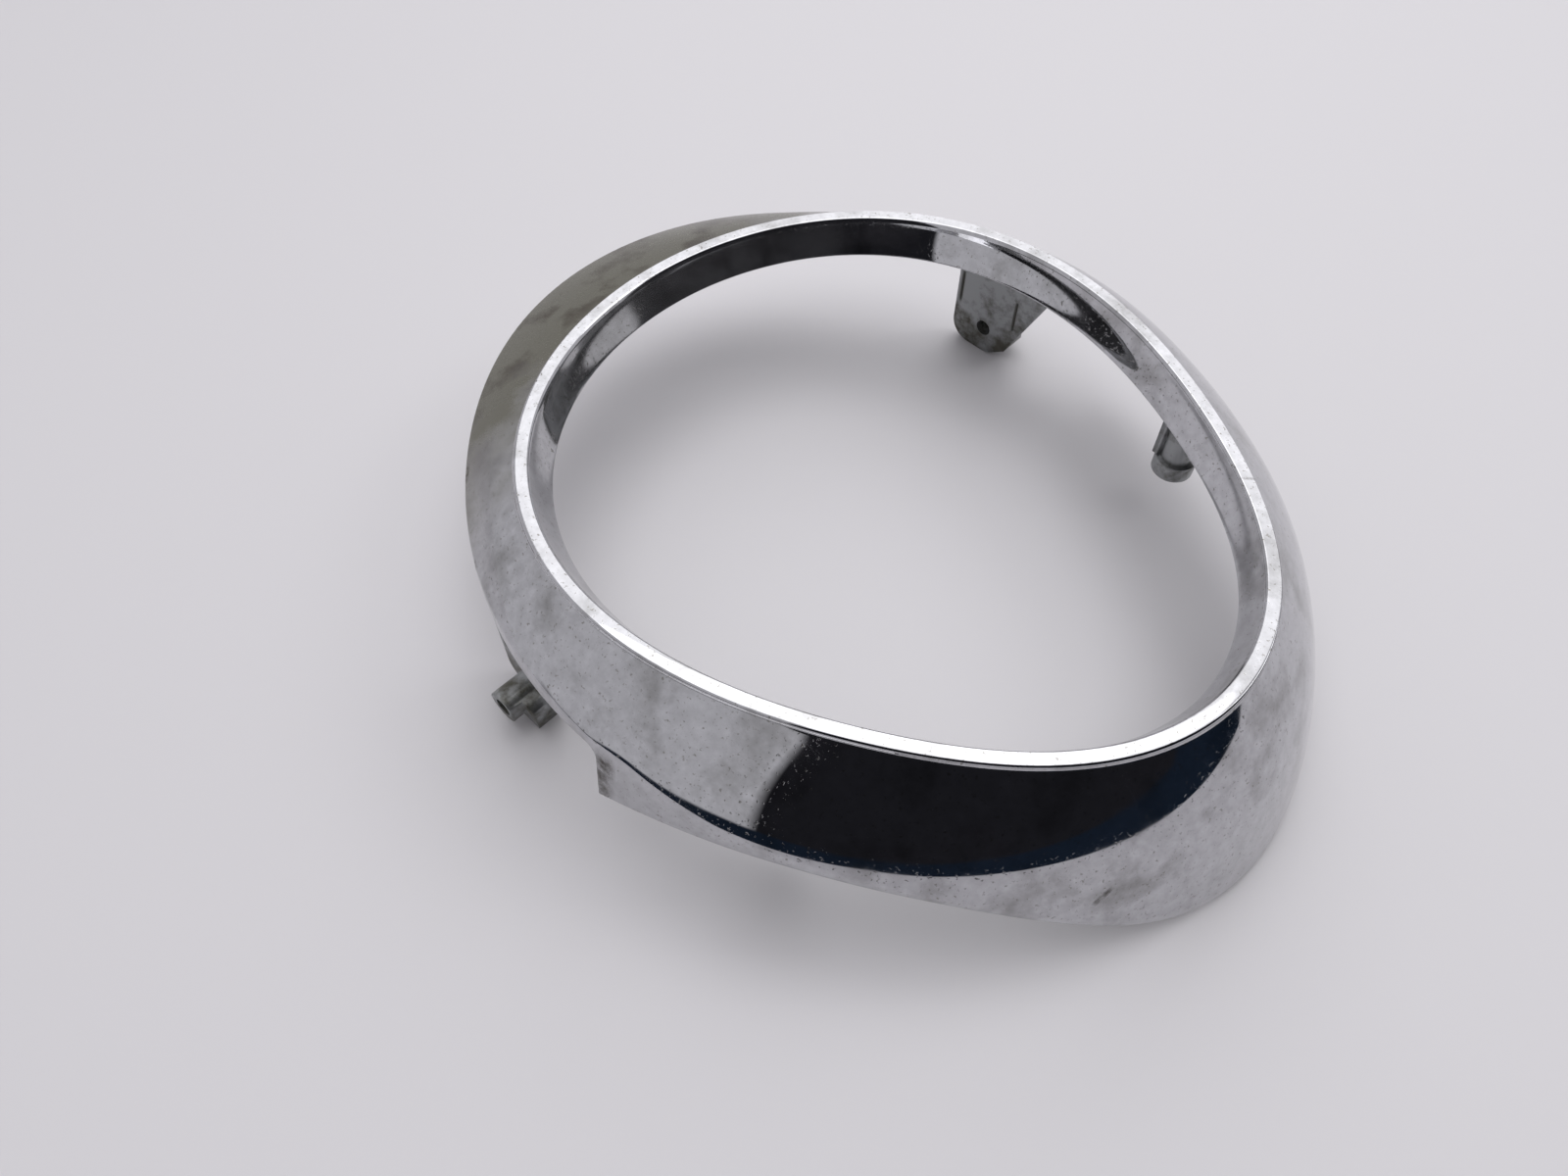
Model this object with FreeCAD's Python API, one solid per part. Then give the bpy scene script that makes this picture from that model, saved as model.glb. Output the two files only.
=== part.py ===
import FreeCAD, Part
import math
import os

from FreeCAD import Vector

os.makedirs("parts", exist_ok=True)

# Scooter dashboard fairing: one moulded ring round the dial, chrome plated.
# X runs along the ring with the deep end at +X, Y across it, Z up from the table. Millimetres.

# The ring's length between the brims and its height set the rest of it. Each list runs from
# the deep front end round one side to the rear, one value every thirty degrees: radii as shares
# of half the length, heights as shares of the height, and how far the flange domes, in degrees.
LENGTH = 233.6
HEIGHT = 53.1
RIM_SHARES = [0.798, 0.723, 0.652, 0.675, 0.741, 0.779, 0.787]
BRIM_SHARES = [1.001, 0.911, 0.834, 0.830, 0.870, 0.943, 0.998]
RIM_LEVELS = [0.994, 1.0, 1.0, 0.991, 0.960, 0.925, 0.910]
BRIM_LEVELS = [0.057, 0.407, 0.584, 0.689, 0.693, 0.702, 0.716]
DOME_ANGLES = [12.0, 12.0, 12.0, 11.0, 8.0, 6.0, 5.0]
HALF = LENGTH / 2.0
RIM_RADII = [HALF * share for share in RIM_SHARES]
BRIM_RADII = [HALF * share for share in BRIM_SHARES]
RIM_HEIGHTS = [HEIGHT * level for level in RIM_LEVELS]
BRIM_HEIGHTS = [HEIGHT * level for level in BRIM_LEVELS]
SIDE_RIM = RIM_RADII[3]
SIDE_BRIM = BRIM_RADII[3]

# The wall: a bead round the top, a funnel inside it, a flange outside it down to the brim.
WALL = 2.2
BEAD_HALF_WIDTH = 2.0
BEAD_TOP_HALF_WIDTH = 0.8
BEAD_ARCH = 0.6
BEAD_STEP = 1.0
FUNNEL_IN_FRONT = 5.4
FUNNEL_IN_REAR = 6.6
FUNNEL_DROP_ENDS = 8.8
FUNNEL_DROP_SIDES = 10.5
FUNNEL_TUCK_TOP = 0.2
FUNNEL_TUCK_EDGE = 0.35
FUNNEL_TUCK_FALL = 0.3
FLANGE_PULL_BRIM = 0.34
FLANGE_PULL_BEAD = 0.4
CORNER_MOST = 2.6 * WALL

# The lip below the brim: narrow at the front, deepest beside the notch, narrow again behind.
BRIM_EDGE = 2.4
BRIM_INNER_EDGE = 0.8 * BRIM_EDGE
LIP_DEPTH = 17.8
LIP_GROWTH_MOST = 1.15
LIP_START_X = 0.49 * HALF
LIP_DRAFT = 0.14
LIP_FADE_START = 14.0
LIP_FADE_LENGTH = 30.0
NOTCH_X = 1.0
NOTCH_LEAN = 1.6
NOTCH_ROUND = 5.0
NOTCH_DEGREES = 92.0
REAR_DEGREES = 120.0
BELOW = 10.0

# The hanging screw tabs, each in line with its hole.
HOLE_X = -0.31 * HALF
HOLE_Z = 8.8
HOLE_RADIUS = 2.5
BOSS_RADIUS = 4.4
BOSS_LENGTH = 12.5
BLOCK_LENGTH = 9.0
BLOCK_TOP_FRONT = 12.2
BLOCK_TOP_REAR = 11.2
TAB_INSET = 10.0
TAB_FACE_Y = SIDE_BRIM - TAB_INSET
TAB_WALL = 2.4
TAB_BEHIND = 11.4
TAB_AHEAD = 8.6
TAB_TOE_AHEAD = 2.6
TAB_REAR_X = HOLE_X - TAB_BEHIND
TAB_FRONT_X = HOLE_X + TAB_AHEAD
TAB_TOE_X = HOLE_X + TAB_TOE_AHEAD
TAB_TOE_Z = 4.6
TAB_ROUND = 6.5
GUSSET_LEAN = 0.45
SLIT_WIDTH = 0.8
SLIT_BOTTOM = 14.0
SLIT_LENGTH = 11.0
SLIT_INSET = 1.5

# The locating pegs.
PEG_X = 0.3286 * HALF
PEG_INSET = 2.0
PEG_Y = SIDE_RIM - PEG_INSET
PEG_RADIUS = 5.7
PEG_BOTTOM = 12.0
PEG_COLLAR = 5.6
PEG_CHAMFER = 0.6
PEG_STEM_RADIUS = 4.4
WEB_WALL = 2.0
WEB_REACH = 7.0

# Fittings are drawn up to this height and then trimmed under the ring.
FITTING_TOP = 0.94 * HEIGHT

# The surfaces run through this many sections and are laid in four lengths, in degrees.
STATIONS = 48
STEP_DEGREES = 360.0 / STATIONS
STEP = math.radians(STEP_DEGREES)
LENGTHS = [(15.0, 135.0), (135.0, 225.0), (225.0, 345.0), (345.0, 375.0)]


def clamp(value, low, high):
    return max(low, min(value, high))


def around(values, angle):
    """Smooth curve through the values, even on both sides of the ring."""
    last = len(values) - 1
    total = 0.0
    for wave in range(last + 1):
        share = 0.0
        for place, value in enumerate(values):
            weight = 0.5 if place in (0, last) else 1.0
            share += weight * value * math.cos(math.pi * place * wave / last)
        share *= 2.0 / last
        weight = 0.5 if wave in (0, last) else 1.0
        total += weight * share * math.cos(wave * angle)
    return total


def swing(at_crest, at_trough, angle):
    """A value that swings once between two sizes, at_crest where the angle is zero."""
    return at_trough + (at_crest - at_trough) * (1.0 + math.cos(angle)) / 2.0


def lip_depth(angle):
    """Height of the outer band below the brim, growing as a parabola towards the notch."""
    reach = around(BRIM_RADII, angle) * math.cos(angle)
    along = clamp((LIP_START_X - reach) / (LIP_START_X - NOTCH_X), 0.0, LIP_GROWTH_MOST)
    behind = clamp((NOTCH_X - reach - LIP_FADE_START) / LIP_FADE_LENGTH, 0.0, 1.0)
    fade = 1.0 - behind ** 2 * (3.0 - 2.0 * behind)
    return BRIM_EDGE + LIP_DEPTH * along ** 2 * fade


def section(angle):
    """Corners and shaping points of the wall at one angle, as (radius, height) pairs."""
    rim_r = around(RIM_RADII, angle)
    rim_z = around(RIM_HEIGHTS, angle)
    brim_r = around(BRIM_RADII, angle)
    brim_z = around(BRIM_HEIGHTS, angle)
    dome = math.radians(around(DOME_ANGLES, angle))
    depth = lip_depth(angle)

    # The bead stands a little proud of the flange, which rolls over like a dome to the brim.
    shoulder = rim_z - BEAD_ARCH
    foot = (rim_r + BEAD_HALF_WIDTH, shoulder - BEAD_STEP)
    run = brim_r - foot[0]
    fall = foot[1] - brim_z
    chord = math.hypot(run, fall)
    slope = math.atan2(fall, run)
    at_brim = slope + dome
    at_foot = slope - dome
    pull_1 = FLANGE_PULL_BRIM * chord
    pull_2 = FLANGE_PULL_BEAD * chord
    out_1 = (brim_r - pull_1 * math.cos(at_brim), brim_z + pull_1 * math.sin(at_brim))
    out_2 = (foot[0] + pull_2 * math.cos(at_foot), foot[1] - pull_2 * math.sin(at_foot))

    # Its crest is a low roof, and inside it the funnel wall leans down to the thin edge.
    crest_foot = (rim_r + BEAD_HALF_WIDTH, shoulder)
    crest_out = (rim_r + BEAD_TOP_HALF_WIDTH, rim_z)
    crest_in = (rim_r - BEAD_TOP_HALF_WIDTH, rim_z)
    funnel_top = (rim_r - BEAD_HALF_WIDTH, shoulder)
    inset = swing(FUNNEL_IN_FRONT, FUNNEL_IN_REAR, angle)
    drop = swing(FUNNEL_DROP_ENDS, FUNNEL_DROP_SIDES, 2.0 * angle)
    edge = (rim_r - inset, rim_z - drop)
    lean = math.atan2(drop, inset)
    across = inset - BEAD_HALF_WIDTH
    waist_1 = (funnel_top[0] - FUNNEL_TUCK_TOP * across, shoulder - FUNNEL_TUCK_FALL * drop)
    waist_2 = (edge[0] + FUNNEL_TUCK_EDGE * across, edge[1] + FUNNEL_TUCK_FALL * drop)

    # The hidden underside keeps about the wall thickness, in straight runs.
    flange_way = (math.cos(at_foot), -math.sin(at_foot))
    funnel_way = (-math.cos(lean), -math.sin(lean))
    middle = (flange_way[0] + funnel_way[0], flange_way[1] + funnel_way[1])
    length = math.hypot(middle[0], middle[1])
    middle = (middle[0] / length, middle[1] / length)
    half = math.acos(flange_way[0] * middle[0] + flange_way[1] * middle[1])
    deep = min(WALL / math.sin(half), CORNER_MOST)
    corner = (rim_r + deep * middle[0], shoulder + deep * middle[1])
    edge_back = (edge[0] + WALL * math.sin(lean), edge[1])
    bend_r = (out_1[0] + out_2[0] - WALL * (math.sin(at_brim) + math.sin(at_foot))) / 2.0
    bend_z = (out_1[1] + out_2[1] - WALL * (math.cos(at_brim) + math.cos(at_foot))) / 2.0
    inner_z = brim_z + WALL * math.tan(at_brim) - WALL / math.cos(at_brim)
    lip_top = (brim_r - WALL, max(inner_z, brim_z - BRIM_INNER_EDGE))
    lip_out = (brim_r + LIP_DRAFT * depth, brim_z - depth)
    lip_in = (lip_out[0] - WALL, lip_out[1])

    return {
        "flange": [(brim_r, brim_z), out_1, out_2, foot],
        "bead_side": [foot, crest_foot],
        "bead_out": [crest_foot, crest_out],
        "bead_top": [crest_out, crest_in],
        "bead_in": [crest_in, funnel_top],
        "funnel": [funnel_top, waist_1, waist_2, edge],
        "edge": [edge, edge_back],
        "funnel_back": [edge_back, corner],
        "flange_back": [corner, (bend_r, bend_z)],
        "brim_back": [(bend_r, bend_z), lip_top],
        "lip_inside": [lip_top, lip_in],
        "lip_bottom": [lip_in, lip_out],
        "lip_outside": [lip_out, (brim_r, brim_z)],
    }


def place(pair, angle):
    return Vector(pair[0] * math.cos(angle), pair[0] * math.sin(angle), pair[1])


def skin(name, sections):
    """One smooth surface all the way round through the named points of every section."""
    rows = len(sections[0][name])
    degree = min(rows - 1, 3)
    points = []
    for number in range(STATIONS):
        points.append([place(pair, number * STEP) for pair in sections[number][name]])
    poles = []
    for number in range(STATIONS):
        before = points[number - 1]
        here = points[number]
        after = points[(number + 1) % STATIONS]
        poles.append([here[i] - (before[i] - here[i] * 2 + after[i]) * (1.0 / 6.0) for i in range(rows)])
    inner = rows - degree - 1
    across_knots = [float(k) for k in range(inner + 2)]
    across_mults = [degree + 1] + [1] * inner + [degree + 1]
    surface = Part.BSplineSurface()
    surface.buildFromPolesMultsKnots(
        poles,
        [1] * (STATIONS + 1),
        across_mults,
        [float(k) for k in range(STATIONS + 1)],
        across_knots,
        True,
        False,
        3,
        degree,
    )
    faces = []
    for begin, finish in LENGTHS:
        piece = surface.copy()
        piece.segment(begin / STEP_DEGREES, finish / STEP_DEGREES, 0.0, across_knots[-1])
        faces.append(piece.toShape())
    return faces


def ring():
    """The closed shell of the ring before the notches are cut."""
    sections = [section(number * STEP) for number in range(STATIONS)]
    faces = []
    for name in sections[0]:
        faces += skin(name, sections)
    shell = Part.makeShell(faces)
    shell.sewShape()
    solid = Part.Solid(Part.Shell(shell.Faces))
    if solid.Volume < 0:
        solid.reverse()
    return solid


def side_plate(points, y_from, y_to):
    """Flat plate parallel to the long axis from (x, z) points, thick from y_from to y_to."""
    corners = [Vector(x, y_from, z) for x, z in points]
    face = Part.Face(Part.makePolygon(corners + [corners[0]]))
    return face.extrude(Vector(0, y_to - y_from, 0))


def round_edges(shape, radius, spots):
    """Round the straight edges along Y that pass through the given (x, z) spots."""
    chosen = []
    for edge in shape.Edges:
        box = edge.BoundBox
        if box.XLength > 0.01 or box.ZLength > 0.01:
            continue
        for x, z in spots:
            if abs(box.XMin - x) < 0.01 and abs(box.ZMin - z) < 0.01:
                chosen.append(edge)
    return shape.makeFillet(radius, chosen)


def notch_tool():
    """Takes the lip away behind the notch, on both sides at once."""
    reach = 1.2 * max(BRIM_RADII)
    bend = math.radians(REAR_DEGREES)
    top_front = around(BRIM_HEIGHTS, math.radians(NOTCH_DEGREES)) - BRIM_EDGE
    top_rear = around(BRIM_HEIGHTS, bend) - BRIM_EDGE
    points = [
        (NOTCH_X + NOTCH_LEAN, -BELOW),
        (NOTCH_X, top_front),
        (around(BRIM_RADII, bend) * math.cos(bend), top_rear),
        (-reach, top_rear - BELOW),
        (-reach, -BELOW),
    ]
    tool = side_plate(points, -reach, reach)
    return round_edges(tool, NOTCH_ROUND, [(NOTCH_X, top_front)])


def under_ring(shape, shell):
    """The part of a fitting that hangs below the ring, trimmed to its underside."""
    pieces = shape.cut(shell).Solids
    return min(pieces, key=lambda piece: piece.BoundBox.ZMin)


def tab(side, shell):
    """Hanging screw tab with its gusset, boss and hole; side is 1 or -1."""
    inside = side * TAB_FACE_Y
    outwards = Vector(0, side, 0)
    plate_points = [
        (TAB_REAR_X, 0.0),
        (TAB_TOE_X, 0.0),
        (TAB_FRONT_X, TAB_TOE_Z),
        (TAB_FRONT_X + GUSSET_LEAN * (FITTING_TOP - TAB_TOE_Z), FITTING_TOP),
        (TAB_REAR_X, FITTING_TOP),
    ]
    plate = side_plate(plate_points, inside, side * (TAB_FACE_Y + TAB_WALL))
    plate = round_edges(plate, TAB_ROUND, [(TAB_REAR_X, 0.0), (TAB_TOE_X, 0.0)])
    plate = under_ring(plate, shell)

    boss = Part.makeCylinder(BOSS_RADIUS, BOSS_LENGTH, Vector(HOLE_X, inside, HOLE_Z), outwards)
    block_points = [
        (HOLE_X, HOLE_Z - BOSS_RADIUS),
        (TAB_FRONT_X, HOLE_Z - BOSS_RADIUS),
        (TAB_FRONT_X, BLOCK_TOP_FRONT),
        (HOLE_X, BLOCK_TOP_REAR),
    ]
    block = side_plate(block_points, inside, side * (TAB_FACE_Y + BLOCK_LENGTH))

    before_face = Vector(HOLE_X, inside - side * TAB_WALL, HOLE_Z)
    hole = Part.makeCylinder(HOLE_RADIUS, BOSS_LENGTH + 2.0 * TAB_WALL, before_face, outwards)
    slits = []
    for middle in (TAB_REAR_X + SLIT_INSET, TAB_FRONT_X + SLIT_INSET):
        corner = Vector(middle - SLIT_WIDTH / 2.0, inside - SLIT_WIDTH, SLIT_BOTTOM)
        slits.append(Part.makeBox(SLIT_WIDTH, 2.0 * SLIT_WIDTH, SLIT_LENGTH, corner))
    return plate.fuse([boss, block]).cut([hole] + slits)


def peg(side, shell):
    """Round locating peg with a collar and a thin web, further forward; side is 1 or -1."""
    foot = Vector(PEG_X, side * PEG_Y, PEG_BOTTOM)
    collar = Part.makeCylinder(PEG_RADIUS, PEG_COLLAR, foot)
    lower_rim = [edge for edge in collar.Edges if edge.BoundBox.ZMax < PEG_BOTTOM + 0.1]
    collar = collar.makeChamfer(PEG_CHAMFER, lower_rim)
    stem = Part.makeCylinder(PEG_STEM_RADIUS, FITTING_TOP - PEG_BOTTOM, foot)
    web_bottom = PEG_BOTTOM + PEG_COLLAR
    web_corner = Vector(PEG_X - PEG_RADIUS, side * PEG_Y - WEB_REACH / 2.0, web_bottom)
    web = Part.makeBox(WEB_WALL, WEB_REACH, FITTING_TOP - web_bottom, web_corner)
    return under_ring(collar.fuse([stem, web]), shell)


shell = ring().cut(notch_tool()).Solids[0]
fittings = []
for side in (1, -1):
    fittings.append(tab(side, shell))
    fittings.append(peg(side, shell))
body = shell.fuse(fittings)

print("dash_bezel", round(body.Volume / 1000.0, 2), "cm3, valid:", body.isValid(), "solids:", len(body.Solids))
print("box", body.BoundBox)
body.exportStep("parts/dash_bezel.step")
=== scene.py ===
import math

import bmesh
import bpy
from mathutils import Matrix, Vector


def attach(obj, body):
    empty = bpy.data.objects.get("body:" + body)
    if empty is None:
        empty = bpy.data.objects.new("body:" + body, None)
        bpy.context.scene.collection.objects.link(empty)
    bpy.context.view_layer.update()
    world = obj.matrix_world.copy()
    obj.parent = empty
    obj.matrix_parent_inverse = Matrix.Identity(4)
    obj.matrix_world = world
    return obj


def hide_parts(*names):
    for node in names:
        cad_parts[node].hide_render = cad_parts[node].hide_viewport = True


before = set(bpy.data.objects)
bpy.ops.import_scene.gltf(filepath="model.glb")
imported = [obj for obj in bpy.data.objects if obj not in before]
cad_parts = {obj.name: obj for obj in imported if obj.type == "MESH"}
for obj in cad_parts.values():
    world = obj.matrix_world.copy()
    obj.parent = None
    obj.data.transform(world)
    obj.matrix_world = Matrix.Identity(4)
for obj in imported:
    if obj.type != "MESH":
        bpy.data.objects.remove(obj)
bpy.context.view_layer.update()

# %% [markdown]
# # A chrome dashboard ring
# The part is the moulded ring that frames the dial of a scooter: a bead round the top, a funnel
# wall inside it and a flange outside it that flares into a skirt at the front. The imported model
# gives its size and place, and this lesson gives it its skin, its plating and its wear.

MM = 0.001
cad_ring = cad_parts["dash_bezel"]


def only(obj):
    """Leave one object selected and active, so that an operator works on nothing else."""
    bpy.ops.object.select_all(action="DESELECT")
    obj.select_set(True)
    bpy.context.view_layer.objects.active = obj


# %% [markdown]
# ## The section
# The ring has one section that changes smoothly on its way round. Its sizes are given every
# thirty degrees from the front tip to the rear, and a cosine curve through them fills the rest,
# which makes both sides alike. Chrome shows every facet, so the moulded corners get small rounds
# here in place of the sharp edges of the solid.

# %% Sizes of the ring, in millimetres
LENGTH = 233.6
HEIGHT = 53.1
HALF = LENGTH / 2.0
RIM_RADII = [HALF * share for share in (0.798, 0.723, 0.652, 0.675, 0.741, 0.779, 0.787)]
BRIM_RADII = [HALF * share for share in (1.001, 0.911, 0.834, 0.830, 0.870, 0.943, 0.998)]
RIM_HEIGHTS = [HEIGHT * level for level in (0.994, 1.0, 1.0, 0.991, 0.960, 0.925, 0.910)]
BRIM_HEIGHTS = [HEIGHT * level for level in (0.057, 0.407, 0.584, 0.689, 0.693, 0.702, 0.716)]
DOME_ANGLES = [12.0, 12.0, 12.0, 11.0, 8.0, 6.0, 5.0]
WALL = 2.2
BEAD_HALF_WIDTH = 2.0
BEAD_ARCH = 0.6
BEAD_STEP = 1.0
BRIM_EDGE = 2.4
LIP_DEPTH = 17.8
LIP_START_X = 0.49 * HALF
LIP_DRAFT = 0.14
NOTCH_X = 1.0
NOTCH_LEAN = 1.6
NOTCH_ROUND = 5.0
NOTCH_DEGREES = 92.0
REAR_DEGREES = 120.0
BELOW = 10.0
LIP_GROWTH_MOST = 1.15
LIP_FADE_FROM = 14.0
LIP_FADE_LENGTH = 30.0
FUNNEL_INSETS = (5.4, 6.6)
FUNNEL_DROPS = (8.8, 10.5)
FUNNEL_TUCK_TOP = 0.2
FUNNEL_TUCK_EDGE = 0.35
FUNNEL_TUCK_FALL = 0.3
PULL_AT_BRIM = 0.34
PULL_AT_FOOT = 0.4
INNER_CORNER = 1.7 * WALL
LIP_TOP_DROP = 0.8 * BRIM_EDGE
print("sections every 30 degrees:", len(RIM_RADII))


# %% Curves round the ring
def around(values, angle):
    """Smooth curve through the values, even on both sides of the ring."""
    last = len(values) - 1
    ends = {0: 0.5, last: 0.5}
    total = 0.0
    for wave in range(last + 1):
        share = sum(
            ends.get(i, 1.0) * value * math.cos(math.pi * i * wave / last)
            for i, value in enumerate(values)
        )
        total += ends.get(wave, 1.0) * share * 2.0 / last * math.cos(wave * angle)
    return total


def swing(at_start, at_far, angle):
    """Size that goes from one value at angle nought to the other at half a turn, and back."""
    return at_far + (at_start - at_far) * (1.0 + math.cos(angle)) / 2.0


def lip_depth(angle):
    """The band below the brim grows as a parabola towards the notch and fades behind it."""
    reach = around(BRIM_RADII, angle) * math.cos(angle)
    along = max(0.0, min((LIP_START_X - reach) / (LIP_START_X - NOTCH_X), LIP_GROWTH_MOST))
    behind = max(0.0, min((NOTCH_X - reach - LIP_FADE_FROM) / LIP_FADE_LENGTH, 1.0))
    return BRIM_EDGE + LIP_DEPTH * along**2 * (1.0 - behind**2 * (3.0 - 2.0 * behind))


# %% Runs and rounds of the section
BRIM_ROUND = 0.5
CREASE_ROUND = 1.9
CREASE_AHEAD = 2.0
CREASE_EASE = 10.0
BEAD_OUTER_ROUND = 0.7
BEAD_INNER_ROUND = 0.8
TIGHT_ROUND = 0.5
FUNNEL_EDGE_ROUND = 0.3
LIP_EDGE_ROUND = 0.6


def curve(points, steps):
    """Points along a Bezier curve, its first end left out."""
    run = []
    for step in range(1, steps + 1):
        t = step / steps
        level = [Vector(p) for p in points]
        while len(level) > 1:
            level = [a.lerp(b, t) for a, b in zip(level, level[1:])]
        run.append(level[0])
    return run


def round_off(before, corner, after, radius, steps=4):
    """A small round in place of a corner, as points of a curve that leaves both sides smoothly."""
    start = corner + (before - corner).normalized() * radius
    end = corner + (after - corner).normalized() * radius
    return [start] + curve([start, corner, end], steps)


def section(angle):
    """The whole closed section at one angle, as (radius, height) points."""
    rim_r = around(RIM_RADII, angle)
    rim_z = around(RIM_HEIGHTS, angle)
    brim = Vector((around(BRIM_RADII, angle), around(BRIM_HEIGHTS, angle)))
    dome = math.radians(around(DOME_ANGLES, angle))
    depth = lip_depth(angle)

    shoulder = rim_z - BEAD_ARCH
    foot = Vector((rim_r + BEAD_HALF_WIDTH, shoulder - BEAD_STEP))
    chord = (foot - brim).length
    slope = math.atan2(foot.y - brim.y, brim.x - foot.x)
    at_brim = slope + dome
    at_foot = slope - dome
    out_1 = brim + PULL_AT_BRIM * chord * Vector((-math.cos(at_brim), math.sin(at_brim)))
    down_flange = Vector((math.cos(at_foot), -math.sin(at_foot)))
    out_2 = foot + PULL_AT_FOOT * chord * down_flange

    outer = Vector((rim_r + BEAD_HALF_WIDTH, shoulder))
    crown = Vector((rim_r, shoulder + 2.0 * BEAD_ARCH))
    inner = Vector((rim_r - BEAD_HALF_WIDTH, shoulder))
    inset = swing(*FUNNEL_INSETS, angle)
    drop = swing(*FUNNEL_DROPS, 2.0 * angle)
    edge = Vector((rim_r - inset, rim_z - drop))
    lean = math.atan2(drop, inset)
    run = inset - BEAD_HALF_WIDTH
    fall = FUNNEL_TUCK_FALL * drop
    waist_1 = Vector((inner.x - FUNNEL_TUCK_TOP * run, shoulder - fall))
    waist_2 = Vector((edge.x + FUNNEL_TUCK_EDGE * run, edge.y + fall))

    corner = foot - INNER_CORNER * Vector((1.0, 1.0))
    edge_back = Vector((edge.x + WALL * math.sin(lean), edge.y))
    thick_1 = -WALL * Vector((math.sin(at_brim), math.cos(at_brim)))
    thick_2 = -WALL * Vector((math.sin(at_foot), math.cos(at_foot)))
    inner_z = brim.y + WALL * math.tan(at_brim) - WALL / math.cos(at_brim)
    lip_top = Vector((brim.x - WALL, max(inner_z, brim.y - LIP_TOP_DROP)))
    lip_out = Vector((brim.x + LIP_DRAFT * depth, brim.y - depth))
    lip_in = Vector((lip_out.x - WALL, lip_out.y))

    ahead = brim.x * math.cos(angle) - NOTCH_X + CREASE_AHEAD
    before_notch = max(0.0, min(ahead / CREASE_EASE, 1.0))
    deepened = min((depth - BRIM_EDGE) / LIP_DEPTH, 1.0)
    crease = BRIM_ROUND + CREASE_ROUND * before_notch * deepened
    points = round_off(lip_out, brim, out_1, crease)
    start = points[-1]
    points += curve([start, out_1, out_2, foot + TIGHT_ROUND * down_flange], 16)
    points += curve([points[-1], foot, foot + Vector((0.0, TIGHT_ROUND))], 3)
    points += round_off(foot, outer, crown, BEAD_OUTER_ROUND)
    points += round_off(crown, inner, waist_1, BEAD_INNER_ROUND)
    before_edge = edge + (waist_2 - edge).normalized() * TIGHT_ROUND
    points += curve([points[-1], waist_1, waist_2, before_edge], 10)
    points += curve([points[-1], edge, edge + Vector((TIGHT_ROUND, 0.0))], 3)
    points += round_off(edge, edge_back, corner, FUNNEL_EDGE_ROUND, 2)
    points += curve([points[-1], corner], 2)
    points += curve([corner, out_2 + thick_2, out_1 + thick_1, lip_top], 6)
    above_lip = lip_in + Vector((0.0, TIGHT_ROUND))
    points += curve([lip_top, above_lip], 3)
    points += round_off(above_lip, lip_in, lip_out, TIGHT_ROUND, 2)[1:]
    points += round_off(lip_in, lip_out, brim, LIP_EDGE_ROUND, 3)
    points += curve([points[-1], points[0]], 4)[:-1]
    return points


print("points in a section:", len(section(0.0)))

# %% [markdown]
# ## The moulded shell
# A ring of one section is made here as a modeller would by hand: a circle for the first point of
# the section, extruded once for each further point, and each new loop pulled to its place. The
# angle of a vertex tells which section it belongs to. The last loop meets the first, and merging
# the doubles closes the skin.

# %% Extrude the shell round the section
COLUMNS = 240
MERGE = 0.00001
sections = [section(2.0 * math.pi * i / COLUMNS) for i in range(COLUMNS)]
ROWS = len(sections[0])


def pull_loop(row):
    """Move the selected loop to its point of the section, all the way round."""
    mesh = bmesh.from_edit_mesh(bpy.context.edit_object.data)
    for vertex in mesh.verts:
        if vertex.select:
            angle = math.atan2(vertex.co.y, vertex.co.x)
            column = round(angle / (2.0 * math.pi) * COLUMNS) % COLUMNS
            r, z = sections[column][row % ROWS]
            exact = 2.0 * math.pi * column / COLUMNS
            vertex.co = Vector((r * math.cos(exact), r * math.sin(exact), z)) * MM
    bmesh.update_edit_mesh(bpy.context.edit_object.data)


bpy.ops.object.select_all(action="DESELECT")
bpy.ops.mesh.primitive_circle_add(vertices=COLUMNS, radius=0.1)
shell = bpy.context.active_object
shell.name = "bezel"
bpy.ops.object.mode_set(mode="EDIT")
bpy.ops.mesh.select_all(action="SELECT")
pull_loop(0)
for row in range(1, ROWS + 1):
    bpy.ops.mesh.extrude_region_move()
    pull_loop(row)
bpy.ops.mesh.select_all(action="SELECT")
bpy.ops.mesh.remove_doubles(threshold=MERGE)
bpy.ops.mesh.normals_make_consistent(inside=False)
bpy.ops.object.mode_set(mode="OBJECT")
bpy.ops.object.transform_apply(location=True, rotation=True, scale=True)
print("shell faces", len(shell.data.polygons))

# %% [markdown]
# ## The notch
# Behind the notch the deep lip ends and the screw tab hangs free. On the real part the mould
# gives that edge; here a block with one rounded edge is taken away from both sides at once.

# %% Cut the lip away behind the notch
PAST_THE_RING = 1.2
CORNER_MATCH = 0.0001
CORNER_OFFSET = 0.7 * NOTCH_ROUND * MM
reach = PAST_THE_RING * max(BRIM_RADII)
rear_bend = math.radians(REAR_DEGREES)
top_front = around(BRIM_HEIGHTS, math.radians(NOTCH_DEGREES)) - BRIM_EDGE
top_rear = around(BRIM_HEIGHTS, rear_bend) - BRIM_EDGE
outline = [
    (NOTCH_X + NOTCH_LEAN, -BELOW),
    (NOTCH_X, top_front),
    (around(BRIM_RADII, rear_bend) * math.cos(rear_bend), top_rear),
    (-reach, top_rear - BELOW),
    (-reach, -BELOW),
]
bpy.ops.object.select_all(action="DESELECT")
bpy.ops.mesh.primitive_circle_add(vertices=len(outline), radius=0.1, fill_type="NGON")
cutter = bpy.context.active_object
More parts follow.
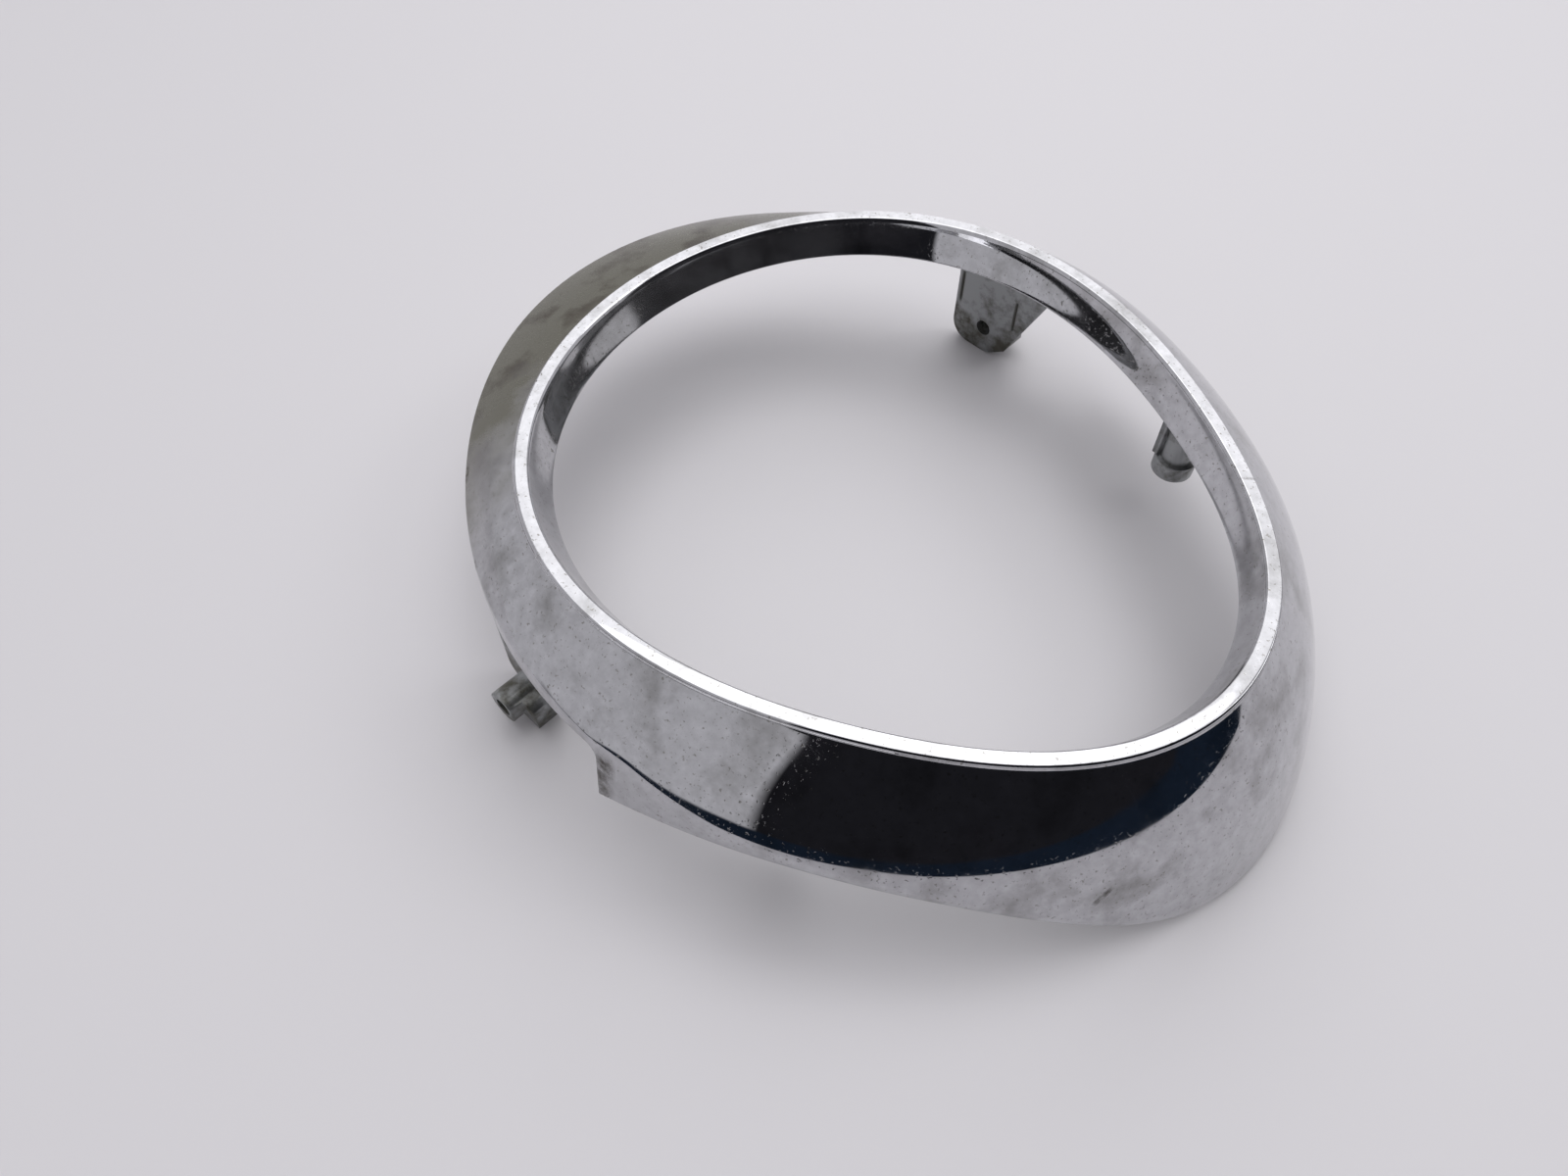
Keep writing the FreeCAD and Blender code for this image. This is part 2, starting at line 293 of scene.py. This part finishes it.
for vertex, (x, z) in zip(cutter.data.vertices, outline):
    vertex.co = Vector((x, -reach, z)) * MM
bpy.ops.object.mode_set(mode="EDIT")
bpy.ops.mesh.select_all(action="SELECT")
bpy.ops.mesh.extrude_region_move(TRANSFORM_OT_translate={"value": (0.0, 2.0 * reach * MM, 0.0)})
bpy.ops.mesh.select_all(action="DESELECT")
mesh = bmesh.from_edit_mesh(cutter.data)
for side in mesh.edges:
    side.select = all(
        abs(v.co.x - NOTCH_X * MM) < CORNER_MATCH and abs(v.co.z - top_front * MM) < CORNER_MATCH
        for v in side.verts
    )
bmesh.update_edit_mesh(cutter.data)
bpy.ops.mesh.bevel(offset=CORNER_OFFSET, segments=8)
bpy.ops.mesh.select_all(action="SELECT")
bpy.ops.mesh.normals_make_consistent(inside=False)
bpy.ops.object.mode_set(mode="OBJECT")

only(shell)
cut = shell.modifiers.new("notch", "BOOLEAN")
cut.operation = "DIFFERENCE"
cut.solver = "EXACT"
cut.object = cutter
bpy.ops.object.modifier_apply(modifier=cut.name)
bpy.data.objects.remove(cutter)
print("faces with the notches", len(shell.data.polygons))

# %% [markdown]
# ## Tabs, bosses and pegs
# The fittings under the ring are plain walls and cylinders, and the solid already has them right.
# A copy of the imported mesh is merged, everything but the fittings is deleted by place and by
# the direction its faces look, and what is left joins the shell.

# %% Take the fittings from a copy of the solid
TAB_FROM, TAB_TO = -48.0, -5.0
PLATE_INSIDE, PLATE_OUTSIDE = 86.9, 89.5
UNDER_FLANGE = 28.0
PEG_FROM, PEG_TO = 32.0, 44.5
PEG_INSIDE, PEG_OUTSIDE = 71.0, 82.8
COLLAR_TOP = 18.0
SQUARE, LEVEL = 0.99, 0.01
only(cad_ring)
bpy.ops.object.duplicate()
fittings = bpy.context.active_object
for key in [key for key in fittings.keys() if key.startswith("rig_")]:
    del fittings[key]
fittings.parent = None
bpy.ops.object.mode_set(mode="EDIT")
bpy.ops.mesh.select_all(action="SELECT")
bpy.ops.mesh.remove_doubles(threshold=MERGE)
bpy.ops.mesh.select_all(action="DESELECT")


def on_tab(x, y, z, way):
    """Tab, boss or block: the plate's own flat faces, or anything below the ring there."""
    if not TAB_FROM < x < TAB_TO:
        return False
    flat_face = abs(way.y) > SQUARE or abs(way.y) < LEVEL
    plate = PLATE_INSIDE < abs(y) < PLATE_OUTSIDE and flat_face
    return plate or z < UNDER_FLANGE


def on_peg(x, y, z, way):
    """Peg, collar or web: upright faces, or anything near the collar."""
    near = PEG_FROM < x < PEG_TO and PEG_INSIDE < abs(y) < PEG_OUTSIDE
    return near and (abs(way.z) < LEVEL or z < COLLAR_TOP)


mesh = bmesh.from_edit_mesh(fittings.data)
for face in mesh.faces:
    x, y, z = face.calc_center_median() / MM
    face.select = not (on_tab(x, y, z, face.normal) or on_peg(x, y, z, face.normal))
bmesh.update_edit_mesh(fittings.data)
bpy.ops.mesh.delete(type="FACE")
bpy.ops.object.mode_set(mode="OBJECT")
print("faces of the fittings", len(fittings.data.polygons))

# %% Join the fittings to the shell and smooth it
SMOOTH_UNDER = math.radians(38.0)
FACES_DOWN = -0.12
chrome = bpy.data.materials.new("worn_chrome_plating")
dull = bpy.data.materials.new("dull_unpolished_plating")
for piece, finish in ((shell, chrome), (fittings, dull)):
    piece.data.materials.clear()
    piece.data.materials.append(finish)
bpy.ops.object.select_all(action="DESELECT")
fittings.select_set(True)
shell.select_set(True)
bpy.context.view_layer.objects.active = shell
bpy.ops.object.join()
only(shell)
bpy.ops.object.shade_smooth_by_angle(angle=SMOOTH_UNDER)
weights = shell.modifiers.new("weights", "WEIGHTED_NORMAL")
weights.keep_sharp = True
bpy.ops.object.modifier_apply(modifier=weights.name)
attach(shell, "root")
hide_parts("dash_bezel")
DULL_SLOT = shell.data.materials.find("dull_unpolished_plating")
for face in shell.data.polygons:
    if face.normal.z < FACES_DOWN:
        face.material_index = DULL_SLOT
print("bezel faces", len(shell.data.polygons))

# %% [markdown]
# ## Plating
# The ring is moulded plastic under a thin bright coat of chrome. Chrome has hardly any colour of
# its own, so the eye reads it by the room it mirrors and by what breaks that mirror: fine pits,
# a film of haze, and dirt that has bitten in. The metal keeps its default index of refraction.

# %% A helper for colours and one for nodes
def srgb(code):
    """Linear colour from an sRGB hex value."""
    channels = [int(code[i:i + 2], 16) / 255.0 for i in (1, 3, 5)]
    return [c / 12.92 if c <= 0.04045 else ((c + 0.055) / 1.055) ** 2.4 for c in channels] + [1.0]


def add(tree, kind, links=(), **settings):
    """Add a node, set its values and give its inputs a link or a number each."""
    node = tree.nodes.new(kind)
    for name, value in settings.items():
        setattr(node, name, value)
    for socket, source in links:
        if hasattr(source, "is_output"):
            tree.links.new(source, node.inputs[socket])
        else:
            node.inputs[socket].default_value = source
    return node


print("mid grey as linear light:", round(srgb("#808080")[0], 3))

# %% [markdown]
# ## Marks in known places
# A nick, a smear of grime, a worn stretch or a painted line of shade sits in one place, so each gets
# a soft mask: how far the surface is from a short line through its centre. The coordinates are the
# object's own, which are metres here because the object is never scaled.

# %% A soft mask round a short line
def mark(tree, where, centre, way, half_length, half_width):
    """Mask of a mark, 1 near the line through its centre and 0 away from it, sizes in mm."""
    from_centre = add(
        tree,
        "ShaderNodeVectorMath",
        [(0, where), (1, Vector(centre) * MM)],
        operation="SUBTRACT",
    ).outputs[0]
    direction = Vector(way).normalized()
    along = add(
        tree,
        "ShaderNodeVectorMath",
        [(0, from_centre), (1, direction)],
        operation="DOT_PRODUCT",
    ).outputs["Value"]
    along = add(tree, "ShaderNodeMath", [(0, along)], operation="ABSOLUTE").outputs[0]
    aside = add(
        tree,
        "ShaderNodeVectorMath",
        [(0, from_centre), (1, direction)],
        operation="CROSS_PRODUCT",
    ).outputs[0]
    aside = add(tree, "ShaderNodeVectorMath", [(0, aside)], operation="LENGTH").outputs["Value"]
    in_length = add(
        tree,
        "ShaderNodeMapRange",
        [(0, along), (1, half_length * MM), (2, 0.6 * half_length * MM)],
    ).outputs[0]
    in_width = add(
        tree,
        "ShaderNodeMapRange",
        [(0, aside), (1, half_width * MM), (2, 0.3 * half_width * MM)],
    ).outputs[0]
    return add(tree, "ShaderNodeMath", [(0, in_length), (1, in_width)], operation="MULTIPLY").outputs[0]


# %% [markdown]
# ## Wear all over the plating
# Four noises of very different size do the work: pits about a millimetre across, mottling of a
# few millimetres, blotches as wide as a finger and haze in patches as wide as a thumb. Thin lines
# at the middle value of a stretched noise wander like scratches. At the rear an olive film of old
# grease lies on the chrome, and its brown blotches are where it has dried. The film stops below
# the crest of the bead, where hands rub it off, and it is thin on the funnel wall.

# %% Pits, mottling, haze and scratches
SCRATCH_TURN = math.radians(35.0)
SCRATCH_STRETCH = (0.5, 14.0, 1.0)
LINE_EDGE, LINE_CORE = 0.004, 0.001
chrome.use_nodes = True
tree = chrome.node_tree
where = add(tree, "ShaderNodeTexCoord").outputs["Object"]
PIT, MOTTLE, HAZE, BLOTCH, SCRATCH = 0.9 * MM, 3.0 * MM, 26.0 * MM, 15.0 * MM, 22.0 * MM
noises = {}
for name, size, detail in (
    ("pit", PIT, 2.0),
    ("mottle", MOTTLE, 4.0),
    ("haze", HAZE, 5.0),
    ("blotch", BLOTCH, 5.0),
):
    noises[name] = add(
        tree,
        "ShaderNodeTexNoise",
        [("Vector", where), ("Scale", 1.0 / size), ("Detail", detail), ("Roughness", 0.6)],
    ).outputs["Fac"]
pits = add(tree, "ShaderNodeMapRange", [(0, noises["pit"]), (1, 0.62), (2, 0.72)]).outputs[0]
haze = add(tree, "ShaderNodeMapRange", [(0, noises["haze"]), (1, 0.42), (2, 0.68)]).outputs[0]
stretched = add(
    tree,
    "ShaderNodeMapping",
    [(0, where), ("Rotation", (0.0, 0.0, SCRATCH_TURN)), ("Scale", SCRATCH_STRETCH)],
).outputs[0]
wander = add(
    tree,
    "ShaderNodeTexNoise",
    [("Vector", stretched), ("Scale", 1.0 / SCRATCH), ("Detail", 1.0)],
).outputs["Fac"]
off_line = add(tree, "ShaderNodeMath", [(0, wander), (1, 0.5)], operation="SUBTRACT").outputs[0]
off_line = add(tree, "ShaderNodeMath", [(0, off_line)], operation="ABSOLUTE").outputs[0]
scratches = add(tree, "ShaderNodeMapRange", [(0, off_line), (1, LINE_EDGE), (2, LINE_CORE)]).outputs[0]
scratches = add(tree, "ShaderNodeMath", [(0, scratches), (1, haze)], operation="MULTIPLY").outputs[0]
print("noises", sorted(noises))

# %% The olive film at the rear
OUTER_SOFT = 6.0 * MM
FILM_INSIDE = 0.25
OLIVE, DRIED_BROWN = srgb("#6D6B60"), srgb("#40382B")
along_ring = add(tree, "ShaderNodeSeparateXYZ", [(0, where)]).outputs["X"]
FILM_STARTS, FILM_FULL, FILM_RAGGED = -52.0 * MM, -90.0 * MM, 50.0 * MM
ragged = add(
    tree,
    "ShaderNodeMath",
    [(0, noises["blotch"]), (1, FILM_RAGGED), (2, along_ring)],
    operation="MULTIPLY_ADD",
).outputs[0]
film = add(
    tree,
    "ShaderNodeMapRange",
    [(0, ragged), (1, FILM_STARTS + 0.5 * FILM_RAGGED), (2, FILM_FULL + 0.5 * FILM_RAGGED)],
).outputs[0]
CREST_FALLS, RUBBED_FROM, RUBBED_FULL = 0.055, 51.9 * MM, 52.8 * MM
above_table = add(tree, "ShaderNodeSeparateXYZ", [(0, where)]).outputs["Z"]
level = add(
    tree,
    "ShaderNodeMath",
    [(0, along_ring), (1, -CREST_FALLS), (2, above_table)],
    operation="MULTIPLY_ADD",
).outputs[0]
unrubbed = add(tree, "ShaderNodeMapRange", [(0, level), (1, RUBBED_FULL), (2, RUBBED_FROM)]).outputs[0]
film = add(tree, "ShaderNodeMath", [(0, film), (1, unrubbed)], operation="MULTIPLY").outputs[0]
surface_way = add(tree, "ShaderNodeTexCoord").outputs["Normal"]
flat_place = add(
    tree,
    "ShaderNodeVectorMath",
    [(0, where), (1, (1.0, 1.0, 0.0))],
    operation="MULTIPLY",
).outputs[0]
outwards = add(
    tree,
    "ShaderNodeVectorMath",
    [(0, surface_way), (1, flat_place)],
    operation="DOT_PRODUCT",
).outputs["Value"]
outer = add(
    tree,
    "ShaderNodeMapRange",
    [(0, outwards), (1, -OUTER_SOFT), (2, OUTER_SOFT), (3, FILM_INSIDE)],
).outputs[0]
film = add(tree, "ShaderNodeMath", [(0, film), (1, outer)], operation="MULTIPLY").outputs[0]
dried = add(tree, "ShaderNodeMapRange", [(0, noises["blotch"]), (1, 0.5), (2, 0.66)]).outputs[0]
film_colour = add(
    tree,
    "ShaderNodeMix",
    [("Factor", dried), (6, OLIVE), (7, DRIED_BROWN)],
    data_type="RGBA",
).outputs[2]
print("film from x", FILM_STARTS / MM, "to", FILM_FULL / MM, "mm")

# %% Nick, grime, worn spots and painted shade lines
TANGENT = (-0.62, 0.78, 0.0)
grime_wear_and_shade_marks = {
    # Painted shade: a dark line in the crease where the bead meets the flange.
    "painted shade at the bead's foot": ((72.8, 44.4, 51.5), TANGENT, 10.0, 0.9),
    "nick across the bead": ((65.5, 50.3, 53.0), (0.78, 0.62, 0.0), 3.2, 0.5),
    "notch corner": ((3.0, -98.0, 24.0), (0.1, 0.0, 1.0), 13.0, 3.5),
    # Painted reflection: the dark band on the lip's lower edge mirrors the shade under the lip.
    "painted reflection on the lip's lower edge": ((24.0, -96.0, 18.5), (1.0, 0.1, 0.2), 5.0, 2.0),
    "scuff low at the front": ((97.8, -42.8, 24.3), (0.3, 0.6, 0.7), 3.0, 1.0),
    "chip beside the film": ((-79.0, -70.5, 37.0), (0.7, -0.7, 0.0), 3.0, 1.2),
    "second chip": ((-55.0, -86.5, 36.5), (0.8, -0.6, 0.0), 2.5, 1.0),
    "rear chip": ((-115.2, -17.5, 37.7), (0.2, -1.0, 0.0), 1.6, 1.0),
}
grime_and_shade = 0.0
for centre, way, half_length, half_width in grime_wear_and_shade_marks.values():
    spot = mark(tree, where, centre, way, half_length, half_width)
    grime_and_shade = add(tree, "ShaderNodeMath", [(0, grime_and_shade), (1, spot)], operation="MAXIMUM").outputs[0]
worn = mark(tree, where, (-81.0, -48.5, 49.0), (0.52, -0.86, 0.0), 16.0, 2.8)
worn = add(tree, "ShaderNodeMath", [(0, worn), (1, pits)], operation="MULTIPLY").outputs[0]
broken = add(tree, "ShaderNodeMapRange", [(0, noises["mottle"]), (1, 0.3), (2, 0.62)]).outputs[0]
grime_and_shade = add(tree, "ShaderNodeMath", [(0, grime_and_shade), (1, broken)], operation="MULTIPLY").outputs[0]
grime_and_shade = add(tree, "ShaderNodeMath", [(0, grime_and_shade), (1, worn)], operation="MAXIMUM").outputs[0]
print("marks", len(grime_wear_and_shade_marks) + 1)

# %% Colour, roughness and relief of the worn chrome
SHADED_CHROME, BRIGHT_CHROME = srgb("#A4A4A6"), srgb("#D2D2D6")
PIT_GREY, SMUDGE_GREY, GRIME_AND_SHADE_BROWN = srgb("#8F8D8A"), srgb("#7D7C7A"), srgb("#3A3228")
SMUDGE_MOST = 0.8
METAL_UNDER_FILM = 0.6
POLISHED, HAZY = 0.02, 0.1
PIT_ROUGH, FILM_ROUGH, GRIME_AND_SHADE_ROUGH, SCRATCH_ROUGH = 0.1, 0.22, 0.5, 0.12
PIT_DEPTH = 0.02 * MM
shader = tree.nodes["Principled BSDF"]
clean = add(
    tree,
    "ShaderNodeMix",
    [("Factor", noises["mottle"]), (6, SHADED_CHROME), (7, BRIGHT_CHROME)],
    data_type="RGBA",
).outputs[2]
pitted = add(
    tree,
    "ShaderNodeMix",
    [("Factor", pits), (6, clean), (7, PIT_GREY)],
    data_type="RGBA",
).outputs[2]
smudge = add(
    tree,
    "ShaderNodeMapRange",
    [(0, noises["blotch"]), (1, 0.5), (2, 0.75), (4, SMUDGE_MOST)],
).outputs[0]
pitted = add(
    tree,
    "ShaderNodeMix",
    [("Factor", smudge), (6, pitted), (7, SMUDGE_GREY)],
    data_type="RGBA",
).outputs[2]
filmed = add(
    tree,
    "ShaderNodeMix",
    [("Factor", film), (6, pitted), (7, film_colour)],
    data_type="RGBA",
).outputs[2]
# The grime brown also paints the shade at the bead's foot and the dark reflection on the lip's edge.
coated = add(
    tree,
    "ShaderNodeMix",
    [("Factor", grime_and_shade), (6, filmed), (7, GRIME_AND_SHADE_BROWN)],
    data_type="RGBA",
).outputs[2]
tree.links.new(coated, shader.inputs["Base Color"])
bare = add(tree, "ShaderNodeMapRange", [(0, film), (3, 1.0), (4, METAL_UNDER_FILM)]).outputs[0]
metal = add(
    tree,
    "ShaderNodeMath",
    [(0, bare), (1, grime_and_shade)],
    operation="SUBTRACT",
    use_clamp=True,
).outputs[0]
tree.links.new(metal, shader.inputs["Metallic"])
rough = add(tree, "ShaderNodeMapRange", [(0, haze), (3, POLISHED), (4, HAZY)]).outputs[0]
for mask, more in (
    (pits, PIT_ROUGH),
    (film, FILM_ROUGH),
    (grime_and_shade, GRIME_AND_SHADE_ROUGH),
    (scratches, SCRATCH_ROUGH),
):
    rough = add(
        tree,
        "ShaderNodeMath",
        [(0, mask), (1, more), (2, rough)],
        operation="MULTIPLY_ADD",
    ).outputs[0]
tree.links.new(rough, shader.inputs["Roughness"])
hollow = add(tree, "ShaderNodeMath", [(0, pits), (1, grime_and_shade)], operation="MAXIMUM").outputs[0]
relief = add(
    tree,
    "ShaderNodeBump",
    [("Height", hollow), ("Distance", PIT_DEPTH), ("Strength", 0.25)],
    invert=True,
).outputs[0]
tree.links.new(relief, shader.inputs["Normal"])
print("chrome nodes", len(tree.nodes))

# %% [markdown]
# ## The dull coat underneath
# The tabs, the pegs and the whole underside are plated too, but nobody polished the mould there,
# so the coat is grey and rough, with patches of old grease, and it is darker and browner towards the
# bottom. On each tab two dark lines of painted shade stand where its side ribs cast their shadow.

# %% Dull plating with grease, darker towards the bottom, with painted shade lines on the tabs
GREASE = 7.0 * MM
LOW_FROM, LOW_FULL, LOW_MORE = 20.0 * MM, 6.0 * MM, 0.16
SHADE_LINES_X, SHADE_LINE_Z = (-46.1, -26.1), 19.5
DULL_GREY, GREASE_AND_SHADE_BROWN = srgb("#A3A5A6"), srgb("#4F4D43")
DRY_METAL, GREASE_AND_SHADE_METAL = 0.9, 0.35
DULL_ROUGH = 0.42
dull.use_nodes = True
tree = dull.node_tree
where = add(tree, "ShaderNodeTexCoord").outputs["Object"]
grease = add(
    tree,
    "ShaderNodeTexNoise",
    [("Vector", where), ("Scale", 1.0 / GREASE), ("Detail", 6.0), ("Roughness", 0.65)],
).outputs["Fac"]
# The coat is made darker and browner towards the bottom, from 20 mm down to 6 mm above the table.
low = add(tree, "ShaderNodeSeparateXYZ", [(0, where)]).outputs["Z"]
low = add(tree, "ShaderNodeMapRange", [(0, low), (1, LOW_FROM), (2, LOW_FULL), (4, LOW_MORE)]).outputs[0]
grease = add(tree, "ShaderNodeMath", [(0, grease), (1, low)], operation="ADD").outputs[0]
grease_and_shade_lines = add(tree, "ShaderNodeMapRange", [(0, grease), (1, 0.5), (2, 0.72)]).outputs[0]
both_sides = add(
    tree,
    "ShaderNodeVectorMath",
    [(0, where), (1, (1.0, 0.0, 1.0))],
    operation="MULTIPLY",
).outputs[0]
# Painted shade: two dark upright lines on each tab where its side ribs cast their shadow.
for shade_line_x in SHADE_LINES_X:
    shade_line = mark(tree, both_sides, (shade_line_x, 0.0, SHADE_LINE_Z), (0.0, 0.0, 1.0), 7.0, 0.9)
    grease_and_shade_lines = add(tree, "ShaderNodeMath", [(0, grease_and_shade_lines), (1, shade_line)], operation="MAXIMUM").outputs[0]
shader = tree.nodes["Principled BSDF"]
colour = add(
    tree,
    "ShaderNodeMix",
    [("Factor", grease_and_shade_lines), (6, DULL_GREY), (7, GREASE_AND_SHADE_BROWN)],
    data_type="RGBA",
).outputs[2]
tree.links.new(colour, shader.inputs["Base Color"])
metal = add(tree, "ShaderNodeMapRange", [(0, grease_and_shade_lines), (3, DRY_METAL), (4, GREASE_AND_SHADE_METAL)]).outputs[0]
tree.links.new(metal, shader.inputs["Metallic"])
shader.inputs["Roughness"].default_value = DULL_ROUGH
print("dull nodes", len(tree.nodes))

# %% [markdown]
# ## The table
# The ring lies on a plain pale table top. Chrome shows where a table ends, so the top ends a
# forearm's length from the ring on the near sides, and the skirt mirrors that edge.

# %% A table top
EDGE_X, EDGE_Y, FAR = 0.30, -0.43, 1.6
bpy.ops.object.select_all(action="DESELECT")
bpy.ops.mesh.primitive_plane_add(size=1.0)
table_top = bpy.context.active_object
table_top.name = "table_top"
table_top.scale = (EDGE_X + FAR, FAR - EDGE_Y, 1.0)
table_top.location = ((EDGE_X - FAR) / 2.0, (EDGE_Y + FAR) / 2.0, 0.0)
bpy.ops.object.transform_apply(location=True, rotation=True, scale=True)
paint = bpy.data.materials.new("pale_matt_laminate")
paint.use_nodes = True
shader = paint.node_tree.nodes["Principled BSDF"]
shader.inputs["Base Color"].default_value = srgb("#D8D6D9")
shader.inputs["Roughness"].default_value = 0.6
table_top.data.materials.append(paint)
print("table top", [round(v, 2) for v in table_top.dimensions])

# %% [markdown]
# ## The room
# A mirror needs something to mirror. The room is pale, with one dark side that reaches from the
# table almost to the ceiling and has crisp edges. Round its near half it is dark blue below the
# level of the table.
# Rays from the camera see the pale tone only, so the background stays plain.

# %% The room as a world
world = bpy.data.worlds.new("room")
bpy.context.scene.world = world
world.use_nodes = True
tree = world.node_tree
DARK_MIDDLE, DARK_HALF_WIDTH, DARK_TOP = -20.0, 55.0, 64.0
SOFT = 1.0
BELOW_FULL, BELOW_ENDS = 96.0, 108.0
PALE_WALL, DARK_SIDE, UNDER_TABLE = srgb("#CECDD1"), srgb("#222226"), srgb("#1B2431")
way = add(tree, "ShaderNodeTexCoord").outputs["Generated"]
up = add(tree, "ShaderNodeSeparateXYZ", [(0, way)]).outputs["Z"]
flat = add(
    tree,
    "ShaderNodeVectorMath",
    [(0, way), (1, (1.0, 1.0, 0.0))],
    operation="MULTIPLY",
).outputs[0]
flat = add(tree, "ShaderNodeVectorMath", [(0, flat)], operation="NORMALIZE").outputs[0]
middle = Matrix.Rotation(math.radians(DARK_MIDDLE), 3, "Z") @ Vector((1.0, 0.0, 0.0))
facing = add(
    tree,
    "ShaderNodeVectorMath",
    [(0, flat), (1, middle)],
    operation="DOT_PRODUCT",
).outputs["Value"]
beside = add(
    tree,
    "ShaderNodeMapRange",
    [
        (0, facing),
        (1, math.cos(math.radians(DARK_HALF_WIDTH + SOFT))),
        (2, math.cos(math.radians(DARK_HALF_WIDTH - SOFT))),
    ],
).outputs[0]
beneath = add(
    tree,
    "ShaderNodeMapRange",
    [
        (0, up),
        (1, math.sin(math.radians(DARK_TOP + 2.0 * SOFT))),
        (2, math.sin(math.radians(DARK_TOP - 2.0 * SOFT))),
    ],
).outputs[0]
dark = add(tree, "ShaderNodeMath", [(0, beside), (1, beneath)], operation="MULTIPLY").outputs[0]
walls = add(
    tree,
    "ShaderNodeMix",
    [("Factor", dark), (6, PALE_WALL), (7, DARK_SIDE)],
    data_type="RGBA",
).outputs[2]
below = add(
    tree,
    "ShaderNodeMapRange",
    [(0, up), (1, 0.0), (2, math.sin(math.radians(-SOFT)))],
).outputs[0]
near_side = add(
    tree,
    "ShaderNodeMapRange",
    [
        (0, facing),
        (1, math.cos(math.radians(BELOW_ENDS))),
        (2, math.cos(math.radians(BELOW_FULL))),
    ],
).outputs[0]
below = add(tree, "ShaderNodeMath", [(0, below), (1, near_side)], operation="MULTIPLY").outputs[0]
room = add(
    tree,
    "ShaderNodeMix",
    [("Factor", below), (6, walls), (7, UNDER_TABLE)],
    data_type="RGBA",
).outputs[2]
seen = add(tree, "ShaderNodeLightPath").outputs["Is Camera Ray"]
shown = add(
    tree,
    "ShaderNodeMix",
    [("Factor", seen), (6, room), (7, srgb("#CDCBCE"))],
    data_type="RGBA",
).outputs[2]
tree.links.new(shown, tree.nodes["Background"].inputs["Color"])
print("room nodes", len(tree.nodes))

# %% [markdown]
# ## Light and camera
# Three round softboxes light the table. The one above lays a weak, wide shadow under the ring,
# and the broad one behind gives the crest of the bead its pale band all the way round. The small
# one at the side adds little light, but the bead mirrors it as its brightest line, which tells
# the eye that the metal is polished.

# %% Softboxes
for name, spot, width, watts in (
    ("softbox_above", (-0.05, 0.1, 1.3), 1.5, 6.0),
    ("softbox_behind", (-0.6, 0.85, 1.25), 1.7, 7.5),
    ("softbox_side", (0.55, 0.85, 1.0), 0.5, 1.6),
):
    lamp_data = bpy.data.lights.new(name, "AREA")
    lamp_data.shape = "DISK"
    lamp_data.size = width
    lamp_data.energy = watts
    lamp = bpy.data.objects.new(name, lamp_data)
    lamp.location = spot
    lamp.rotation_euler = (-lamp.location).to_track_quat("-Z", "Y").to_euler()
    bpy.context.scene.collection.objects.link(lamp)
    print(name, watts, "W")

# %% Camera at the photograph's angle
LENS, SENSOR = 27.0, 36.0
CAMERA_PLACE = (0.1105, -0.1507, 0.2629)
CAMERA_RIGHT = (0.7144, 0.6997, -0.0004)
CAMERA_UP = (-0.5763, 0.5888, 0.5667)
camera_data = bpy.data.cameras.new("camera")
camera_data.sensor_width = SENSOR
camera_data.lens = LENS
camera = bpy.data.objects.new("camera", camera_data)
right = Vector(CAMERA_RIGHT)
up = Vector(CAMERA_UP)
turn = Matrix((right, up, right.cross(up))).transposed().to_4x4()
camera.matrix_world = Matrix.Translation(CAMERA_PLACE) @ turn
bpy.context.scene.collection.objects.link(camera)
bpy.context.scene.camera = camera
bpy.context.scene.view_settings.view_transform = "Standard"
print("lens", camera_data.lens, "mm")
